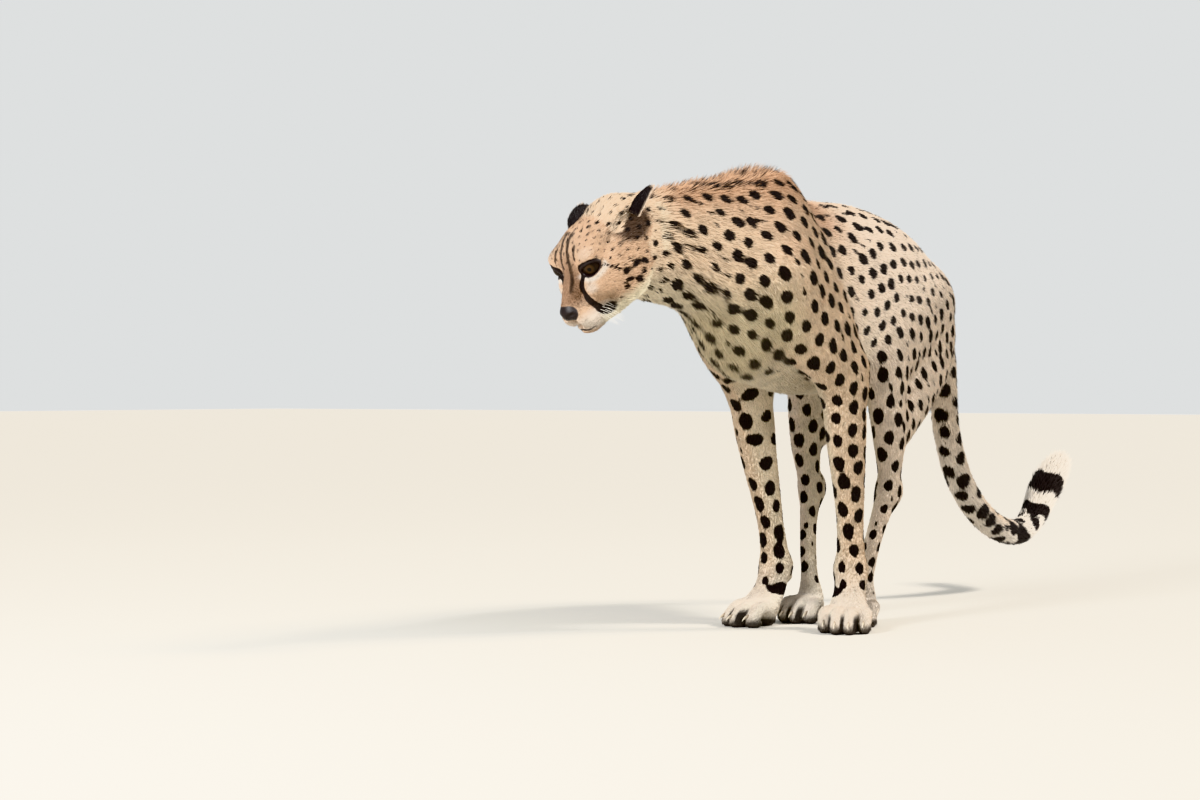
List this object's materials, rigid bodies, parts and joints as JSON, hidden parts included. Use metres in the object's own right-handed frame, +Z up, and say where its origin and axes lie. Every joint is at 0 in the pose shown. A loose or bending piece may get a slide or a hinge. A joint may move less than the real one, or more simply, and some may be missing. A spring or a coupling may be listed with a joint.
{
  "type": "cheetah figure, life size",
  "caption": "Still, life-size cheetah standing bunched on four feet, head low and turned, tail hanging and curled up at its end.",
  "frame": {"origin": "on the floor under the middle of the model's outline box", "axes": "-Y the way the body faces, +X its left side, +Z up"},
  "size_m": [0.2672, 1.5672, 0.7192],
  "materials": {
    "coat": "short fur, tan with near-black spots, cream below",
    "eye": "wet, glossy, amber-brown",
    "claw": "pale horn, satin"
  },
  "bodies": {
    "root": {"claw_fore_left_1": "claw", "claw_fore_left_2": "claw", "claw_fore_left_3": "claw", "claw_fore_left_4": "claw", "claw_fore_right_1": "claw", "claw_fore_right_2": "claw", "claw_fore_right_3": "claw", "claw_fore_right_4": "claw", "claw_hind_left_1": "claw", "claw_hind_left_2": "claw", "claw_hind_left_3": "claw", "claw_hind_left_4": "claw", "claw_hind_right_1": "claw", "claw_hind_right_2": "claw", "claw_hind_right_3": "claw", "claw_hind_right_4": "claw", "ear_left": "coat", "ear_right": "coat", "eye_left": "eye", "eye_right": "eye", "forepaw_left": "coat", "forepaw_right": "coat", "head": "coat", "hindpaw_left": "coat", "hindpaw_right": "coat", "lower_foreleg_left": "coat", "lower_foreleg_right": "coat", "lower_hindleg_left": "coat", "lower_hindleg_right": "coat", "neck": "coat", "tail_middle": "coat", "tail_root": "coat", "tail_tip": "coat", "thigh_left": "coat", "thigh_right": "coat", "trunk": "coat", "upper_foreleg_left": "coat", "upper_foreleg_right": "coat"}
  },
  "joints": []
}
